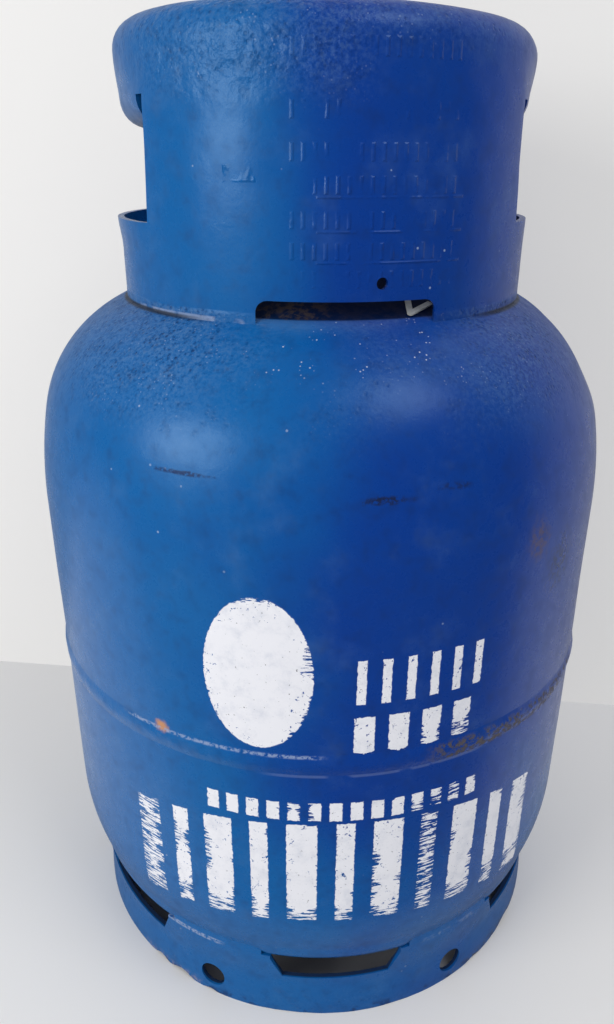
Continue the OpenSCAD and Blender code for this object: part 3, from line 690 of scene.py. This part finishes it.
def painted_shade_and_dirt(p, colour, rough):
    """Painted shade: dark colour under the bottom and inside the foot ring, and inside the guard, where
    little light gets in; brown dirt inside the guard; less shine in both.
    """
    # Painted shade under the bottom and inside the foot ring.
    under = p.z.ramp(44, 40) * p.reach.ramp(FOOT_R / MM - 1.4, FOOT_R / MM - 1.9)
    # Painted shade inside the guard, where little light gets in; brown dirt on its lower part.
    inside = (p.z.ramp(374, 376) * p.z.ramp(470, 430)
        * p.reach.ramp(GUARD_R / MM - 3.1, GUARD_R / MM - 4.5))
    brown = (inside * p.z.ramp(400, 386) * p.noise(5, 4, 0.7).ramp(0.42, 0.6)
        * (p.turn.ramp(3, -12) * 0.85 + 0.15))
    colour = p.mix(inside * 0.95, colour, CROWN_SHADE)
    colour = p.mix(brown * 0.6, colour, CROWN_BROWN)
    colour = p.mix(under * 0.93, colour, UNDER_SHADE)
    shade_and_dirt = top_of(under, inside)
    feed(0.36 - shade_and_dirt * 0.33, p.shader.inputs["Specular IOR Level"])
    return colour, rough + shade_and_dirt * 0.3


def metal(name, colour, dark, rough, size):
    p = Paint(name)
    patches = p.noise(size, 4, 0.6)
    feed(p.mix(patches.ramp(0.35, 0.7), colour, dark), p.shader.inputs["Base Color"])
    p.shader.inputs["Metallic"].default_value = 1
    feed(patches.ramp(0.3, 0.7, rough, rough + 0.2), p.shader.inputs["Roughness"])
    feed(p.bump(p.noise(1.2, 3) * 0.03 + patches * 0.05), p.shader.inputs["Normal"])
    return p.material


def dull(name, colour, worn, rough, size):
    p = Paint(name)
    patches = p.noise(size, 4, 0.6)
    feed(p.mix(patches.ramp(0.45, 0.75), colour, worn), p.shader.inputs["Base Color"])
    feed(patches.ramp(0.3, 0.7, rough, rough + 0.15), p.shader.inputs["Roughness"])
    feed(p.bump(p.noise(0.8, 3) * 0.03 + patches * 0.03), p.shader.inputs["Normal"])
    return p.material


# ---- body shells and girth bead ----

def dents(points):
    """How far the body's wall stands out, in metres: broad swells, an upper body that leans left, a
    hollow at the right under the guard, and a toe above each foot window."""
    z, turn = points[:, 2], turn_of(points)
    high = smooth((z - 60 * MM) / (50 * MM)) * smooth((372 * MM - z) / (30 * MM))
    swell = rumple(points, 90 * MM, 1) * 0.35 * MM + rumple(points, 34 * MM, 2) * 0.16 * MM
    shift = 0.55 * MM * np.cos(np.radians(turn + 82)) * smooth((z - 190 * MM) / (60 * MM))
    hollow = (2.6 * MM * smooth((z - 318 * MM) / (24 * MM)) * smooth((376 * MM - z) / (14 * MM))
        * smooth(1 - abs(turn - 85) / 55))
    over_window = sum(smooth((29.5 - abs(apart(turn, w)) * 1.6) / 6) for w in FOOT_TURNS)
    toe = 1.6 * MM * smooth((z - 43 * MM) / (3 * MM)) * smooth((57 * MM - z) / (9 * MM))
    return (swell + shift) * high - hollow + toe * over_window


def dented(points):
    return points + outwards(points) * dents(points)[:, None]


def add_shells(material):
    step, coarse = 2.0 * MM, 12 * MM
    turns = np.arange(480) * 360 / 480
    wall_in = BODY_R - SHELL_T
    shoulder_z, heel_z = SHOULDER[0], HEEL[0]
    upper = np.concatenate([line((BODY_R, UPPER_LOW_Z), (BODY_R, shoulder_z), step),
        dome_profile(SHOULDER, 0, BOSS_R, step),
        dome_profile(SHOULDER, SHELL_T, BOSS_R, coarse)[::-1],
        line((wall_in, shoulder_z), (wall_in, UPPER_LOW_Z), coarse), [(wall_in, UPPER_LOW_Z)]])
    points = dented(revolved(upper, turns))
    mesh_piece("upper_body", points, grid_faces(len(upper), len(turns), close_rows=True),
        "upper_shell", material)
    joggle_r = wall_in - 0.1 * MM
    joggle_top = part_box("lower_shell")[1].z
    lower = np.concatenate([dome_profile(HEEL, 0, 1e-5, step)[::-1],
        line((BODY_R, heel_z), (BODY_R, LOWER_HIGH_Z), step), [(BODY_R, LOWER_HIGH_Z),
        (joggle_r, UPPER_LOW_Z), (joggle_r, joggle_top), (joggle_r - SHELL_T, joggle_top),
        (joggle_r - SHELL_T, UPPER_LOW_Z - SHELL_T / 2), (wall_in, LOWER_HIGH_Z - SHELL_T / 2)],
        line((wall_in, LOWER_HIGH_Z - 2 * SHELL_T), (wall_in, heel_z), coarse),
        dome_profile(HEEL, SHELL_T, 1e-5, coarse)])
    points = dented(revolved(lower, turns))
    mesh_piece("lower_body", points, grid_faces(len(lower), len(turns)), "lower_shell",
        material)


def add_girth_bead(material):
    """The weld bead round the body, uneven in width and height."""
    turns = np.arange(720) * 360 / 720
    across = np.linspace(-1, 1, 17)
    cap = np.stack([BODY_R + BEAD_RISE * (1 - across ** 2) ** 1.3, SEAM_Z + BEAD_HALF_W * across], -1)
    root = np.array([(BODY_R - 0.6 * MM, cap[-1, 1]), (BODY_R - 0.6 * MM, cap[0, 1])])
    profile = np.concatenate([cap, root])
    points = revolved(profile, turns)
    wander = rumple(points * np.array([1, 1, 0]), 22 * MM, 3) * 0.7 * MM
    lump = (rumple(points, 5 * MM, 4) * 0.22 + rumple(points, 16 * MM, 5) * 0.22 - 0.40) * MM
    share = np.repeat(np.concatenate([1 - across ** 2, [0, 0]]), len(turns))
    points[:, 2] += wander * 0.8
    points = dented(points) + outwards(points) * (lump * share)[:, None]
    mesh_piece("girth_bead", points, grid_faces(len(profile), len(turns), close_rows=True),
        "girth_weld", material)


# ---- formed sheet rings: the valve guard and the foot ring ----

def ring_turns(marks, step):
    """Turns round the ring, about a step apart, with a column at every mark."""
    marks = sorted(m % 360 for m in marks)
    turns = []
    for a, b in zip(marks, marks[1:] + [marks[0] + 360]):
        n = max(1, round((b - a) / step))
        turns += [a + (b - a) * k / n for k in range(n)]
    return np.array(turns)


def ring_quad(low, high, j, columns):
    """The quad between two rows of a ring's grid, from column j to the next."""
    j2 = (j + 1) % columns
    return np.array([low * columns + j, low * columns + j2, high * columns + j2, high * columns + j])


def thick_sheet(outer, inner, quads):
    """Closes a sheet between its outer and inner points: both sides and a strip round each edge."""
    count = len(outer)
    ends = {}
    for quad in quads:
        for a, b in zip(quad, np.roll(quad, -1)):
            ends[(a, b)] = ends.get((a, b), 0) + 1
    edges = [(a, b) for (a, b) in ends if (b, a) not in ends]
    rims = [(b, a, a + count, b + count) for a, b in edges]
    faces = [tuple(q) for q in quads] + [tuple(q[::-1] + count) for q in quads] + rims
    return np.concatenate([outer, inner]), faces


def cut_with(piece, cutters):
    """Cuts solids out of a piece, and removes them."""
    for cutter in cutters:
        cut = piece.modifiers.new("cut", "BOOLEAN")
        cut.operation = "DIFFERENCE"
        cut.solver = "EXACT"
        cut.object = cutter
    shape = bpy.data.meshes.new_from_object(piece.evaluated_get(bpy.context.evaluated_depsgraph_get()))
    piece.modifiers.clear()
    piece.data = shape
    for cutter in cutters:
        bpy.data.objects.remove(cutter)
    shape.shade_smooth()
    shape.set_sharp_from_angle(angle=math.radians(40))


def drill(turn, radius, height, diameter):
    """A round cutter that points through the wall at a turn."""
    bm = bmesh.new()
    bmesh.ops.create_cone(bm, cap_ends=True, segments=48, radius1=diameter / 2,
        radius2=diameter / 2, depth=30 * MM)
    return placed_cutter(bm, turn, radius, height)


def placed_cutter(bm, turn, radius, height):
    """A cutter made along Z with its upright along Y, set through the wall at a turn."""
    mesh = bpy.data.meshes.new("cutter")
    bmesh.ops.recalc_face_normals(bm, faces=bm.faces)
    bm.to_mesh(mesh)
    bm.free()
    cutter = bpy.data.objects.new("cutter", mesh)
    bpy.context.scene.collection.objects.link(cutter)
    cutter.matrix_world = (Matrix.Translation(spot(turn, radius, height))
        @ Matrix.Rotation(math.radians(turn), 4, "Z") @ Matrix.Rotation(math.pi / 2, 4, "X"))
    return cutter


def slot_cutter():
    """The drain slot's notch: straight sides and two rounded top corners."""
    half = SLOT_W / 2
    outline = [(-half, -2 * SLOT_H), (half, -2 * SLOT_H)]
    for side in (1, -1):
        for k in range(9):
            a = math.radians(k * 90 / 8 if side > 0 else 90 + k * 90 / 8)
            outline.append((side * (half - SLOT_CORNER) + SLOT_CORNER * math.cos(a),
                SLOT_H - SLOT_CORNER + SLOT_CORNER * math.sin(a)))
    bm = bmesh.new()
    depth = 20 * MM
    face = bm.faces.new([bm.verts.new((x, y, -depth)) for x, y in outline])
    out = bmesh.ops.extrude_face_region(bm, geom=[face])
    bmesh.ops.translate(bm, vec=(0, 0, 2 * depth),
        verts=[v for v in out["geom"] if isinstance(v, bmesh.types.BMVert)])
    return placed_cutter(bm, SLOT_TURN, GUARD_R, GUARD_FOOT_Z)


def guard_wall_r(z):
    """Outer radius of the guard's wall: straight, then drawn in to a waist, then out to the rim."""
    drawn_in = smooth((z - SILL_Z) / (WAIST_Z - SILL_Z))
    let_out = smooth((z - WAIST_Z) / (RIM_Z - WAIST_Z))
    return GUARD_R + (WAIST_R - GUARD_R) * drawn_in + (RIM_WALL_R - WAIST_R) * let_out


def rolled(wall_r, z, roll_r, tail, side, step):
    """Outer and inner points of a rolled edge, from just past the wall to the end of its tail."""
    n = round(math.pi * roll_r / step)
    a = np.pi * np.arange(1, n + 1) / n
    centre = np.array([wall_r - roll_r, z])
    way = np.stack([np.cos(a), side * np.sin(a)], -1)
    outer, inner = centre + roll_r * way, centre + (roll_r - GUARD_T) * way
    end_z = z - side * tail
    outer = np.concatenate([outer, [(wall_r - 2 * roll_r, end_z)]])
    inner = np.concatenate([inner, [(wall_r - 2 * roll_r + GUARD_T, end_z)]])
    return outer, inner


def guard_quads(turns, sill_row, lip_row, wall_rows, all_rows):
    """Quads of the guard's wall and rim, open at the windows, and of the lip over each window."""
    columns = len(turns)
    middle = (turns + 360 / columns * 0.5) % 360
    from_side = np.minimum(abs(middle - 90), abs(middle - 270))
    in_window, in_lip = from_side < WINDOW_HALF, from_side < LIP_HALF
    quads = []
    for low in range(wall_rows - 1):
        for j in range(columns):
            if not (sill_row <= low < lip_row and in_window[j]):
                quads.append(ring_quad(low, low + 1, j, columns))
    lip_rows = [lip_row, *range(wall_rows, all_rows)]
    for low, high in zip(lip_rows, lip_rows[1:]):
        for j in range(columns):
            if in_lip[j]:
                quads.append(ring_quad(low, high, j, columns)[::-1])
    return quads


def add_guard(material):
    """The valve guard: one rolled sheet with a rolled rim, two hand windows with rolled lips, a
    drain slot and a small hole."""
    step = 2.4 * MM
    heights = np.concatenate([np.linspace(a, b, max(2, round((b - a) / step)), endpoint=False)
        for a, b in ((GUARD_FOOT_Z, SILL_Z), (SILL_Z, LIP_Z), (LIP_Z, RIM_Z))] + [[RIM_Z]])
    sill_row = int(np.argmin(abs(heights - SILL_Z)))
    lip_row = int(np.argmin(abs(heights - LIP_Z)))
    wall_r = guard_wall_r(heights)
    outer, inner = np.stack([wall_r, heights], -1), np.stack([wall_r - GUARD_T, heights], -1)
    inner[0, 1] += 1.3 * MM
    rim_outer, rim_inner = rolled(RIM_WALL_R, RIM_Z, RIM_R, 4 * MM, 1, step)
    lip_outer, lip_inner = rolled(wall_r[lip_row], LIP_Z, LIP_R, 3 * MM, -1, step)
    wall_rows = len(heights) + len(rim_outer)
    outer = np.concatenate([outer, rim_outer, lip_outer])
    inner = np.concatenate([inner, rim_inner, lip_inner])
    marks = [side + half * s for side in (90, 270) for half in (WINDOW_HALF, LIP_HALF)
        for s in (-1, 1)]
    turns = ring_turns(marks, 1.35)
    quads = guard_quads(turns, sill_row, lip_row, wall_rows, len(outer))
    outer, inner = guard_warp(revolved(outer, turns)), guard_warp(revolved(inner, turns))
    points, faces = thick_sheet(outer, inner, quads)
    piece = mesh_piece("guard_sheet", points, faces, "guard", material)
    cut_with(piece, [slot_cutter(), drill(TAG_TURN, GUARD_R, GUARD_FOOT_Z + TAG_H, TAG_D)])


def guard_warp(points):
    """The guard's dents, its waist that is deeper above the windows, its flared sills, and a rim
    that has been knocked a little out of true."""
    z, turn = points[:, 2], turn_of(points)
    up = smooth((z - GUARD_FOOT_Z - 12 * MM) / (70 * MM))
    push = rumple(points, 42 * MM, 8) * 0.7 * MM + rumple(points, 13 * MM, 9) * 0.22 * MM
    knocks = rumple(points, 7 * MM, 10)
    battered = smooth((z - 448 * MM) / (25 * MM)) * smooth(1 - abs(turn + 28) / 34)
    push = (push - np.clip(knocks - 0.1, 0, None) * battered * 1.4 * MM) * up
    side = smooth((abs(np.sin(np.radians(turn))) - 0.80) / 0.18)
    waist = smooth((z - SILL_Z) / (WAIST_Z - SILL_Z)) * (1 - smooth((z - WAIST_Z) / (RIM_Z - WAIST_Z)))
    push += waist * (1.5 * (1 - side) - 1.8 * side) * MM
    at_window = smooth((WINDOW_HALF + 1.5 - abs(abs(turn) - 90)) / 6)
    below_sill = smooth((z - SILL_Z + 14 * MM) / (14 * MM)) * (z < SILL_Z + 1 * MM)
    push += at_window * below_sill * np.where(turn < 0, 1.4, 0.3) * MM
    moved = points + outwards(points) * push[:, None]
    droop = 1 - np.cos(np.radians(turn + 80))
    moved[:, 2] -= droop * smooth((z - 455 * MM) / (25 * MM)) * 1.6 * MM
    return moved


def foot_wall_r(z):
    below = smooth(z / FOOT_WAIST_Z)
    above = smooth((z - FOOT_WAIST_Z) / (FOOT_TOP_Z - FOOT_WAIST_Z))
    return FOOT_R + (FOOT_WAIST_R - FOOT_R) * below + (FOOT_TOP_R - FOOT_WAIST_R) * above


def widened(turns, share, half_low, half_top):
    """One row's turns, moved away from each window so that it is wider at its top. share goes from 0
    at the window's sill to 1 at the ring's top."""
    widen = (half_top - half_low) * min(share, 0.85)
    moved = turns.copy()
    for k, turn in enumerate(turns):
        off = min((apart(turn, window) for window in FOOT_TURNS), key=abs)
        if abs(off) >= half_low - 1e-6:
            fade = max(0, 1 - (abs(off) - half_low) / 12)
            moved[k] = turn + math.copysign(widen * fade, off)
    return moved


def add_foot_ring(material):
    """The foot ring: a rolled strip with six air windows, round holes and a knocked lower edge."""
    sill_row = 14
    heights = np.concatenate([np.linspace(0, FOOT_WINDOW_Z, sill_row, endpoint=False),
        np.linspace(FOOT_WINDOW_Z, FOOT_TOP_Z, 9)])
    half_low = math.degrees(math.asin(FOOT_LOW_W / 2 / FOOT_WAIST_R))
    half_top = math.degrees(math.asin(FOOT_TOP_W / 2 / FOOT_TOP_R))
    turns = ring_turns([turn + side * half_low for turn in FOOT_TURNS for side in (-1, 1)], 0.9)
    columns = len(turns)
    rows_outer, rows_inner = [], []
    for z, r in zip(heights, foot_wall_r(heights)):
        share = max(0, (z - FOOT_WINDOW_Z) / (FOOT_TOP_Z - FOOT_WINDOW_Z))
        row_turns = widened(turns, share, half_low, half_top)
        rows_outer.append(revolved(np.array([(r, z)]), row_turns))
        rows_inner.append(revolved(np.array([(r - FOOT_T, z)]), row_turns))
    middle = turns + 360 / columns * 0.5
    in_window = [min(abs(apart(t, w)) for w in FOOT_TURNS) < half_low for t in middle]
    quads = []
    for low in range(len(heights) - 1):
        for j in range(columns):
            if low < sill_row or not in_window[j]:
                quads.append(ring_quad(low, low + 1, j, columns))
    outer, inner = foot_warp(np.concatenate(rows_outer)), foot_warp(np.concatenate(rows_inner))
    points, faces = thick_sheet(outer, inner, quads)
    piece = mesh_piece("foot_sheet", points, faces, "foot_ring", material)
    cut_with(piece, [drill(turn, FOOT_R, FOOT_HOLE_Z, FOOT_HOLE_D) for turn in FOOT_HOLE_TURNS])


def foot_warp(points):
    """The lower edge is worn and bent into shallow waves, and stands on its lowest points."""
    low = 1 - smooth(points[:, 2] / (18 * MM))
    level = points * np.array([1, 1, 0])
    turn = turn_of(points)
    wave = rumple(level, 38 * MM, 12) * 1.1 * MM + rumple(level, 9 * MM, 13) * 0.35 * MM
    bites = sum(size * MM * smooth(1 - abs(turn - at) / half) for at, half, size in
        ((-45.5, 3.2, 2.6), (-38.5, 4.5, 3.4), (-30, 2.5, 1.6), (51.5, 5, 2.4), (36, 3, 1.2)))
    moved = points.copy()
    moved[:, 2] += np.clip(wave - 0.2 * MM + bites, 0, None) * low
    bend = rumple(level, 60 * MM, 14) * 0.5 * MM - 0.2 * MM
    return moved + outwards(points) * (bend * low)[:, None]


# ---- the whole object ----

def add_relief_coil(material):
    """The relief spring as a piece of its own that rides on the cylinder."""
    low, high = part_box("relief_spring")
    joint = next(j for j in frame["joints"] if j["name"] == "relief_pop")
    node = frame["nodes"]["relief_spring"]
    coil = bpy.data.objects.new("relief_coil", node.data.copy())
    bpy.context.scene.collection.objects.link(coil)
    coil.matrix_world = node.matrix_world
    coil.data.materials.clear()
    coil.data.materials.append(material)
    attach(coil, ROOT)
    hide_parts("relief_spring")
    length = high.x - low.x
    (length - joint["range_m"][1]) / length
    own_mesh(coil)


def dress_cad(materials):
    """Gives every CAD node that still shows its finish."""
    for name, node in frame["nodes"].items():
        slot = next(s["material_slot"] for s in frame["record"]["subparts"] if s["node"] == name)
        node.data.materials.clear()
        node.data.materials.append(materials[slot])


def main():
    add_camera()
    add_lights()
    add_stage()
    body_paint = blue_paint("body_paint", prints=True)
    ring_paint = blue_paint("ring_paint", grain=0.05)
    guard_paint = blue_paint("guard_paint", raised=True, grain=0.05)
    bead_paint = blue_paint("bead_paint", grain=0.25)
    materials = {
        "blue_paint": ring_paint,
        "painted_weld": bead_paint,
        "brass": metal("brass", (0.60, 0.42, 0.17), (0.33, 0.21, 0.09), 0.32, 9),
        "steel": metal("steel", (0.55, 0.55, 0.56), (0.30, 0.29, 0.28), 0.35, 6),
        "rubber": dull("rubber", (0.02, 0.02, 0.02), (0.05, 0.05, 0.05), 0.6, 5),
        "black_plastic": dull("black_plastic", (0.018, 0.018, 0.02), (0.07, 0.07, 0.07), 0.45, 12),
        "strip_film": dull("strip_film", (0.55, 0.57, 0.56), (0.36, 0.36, 0.34), 0.5, 6),
    }
    dress_cad(materials)
    add_shells(body_paint)
    add_girth_bead(bead_paint)
    add_guard(guard_paint)
    add_foot_ring(ring_paint)
    add_relief_coil(materials["steel"])
    bpy.context.scene.view_settings.view_transform = "Standard"


main()
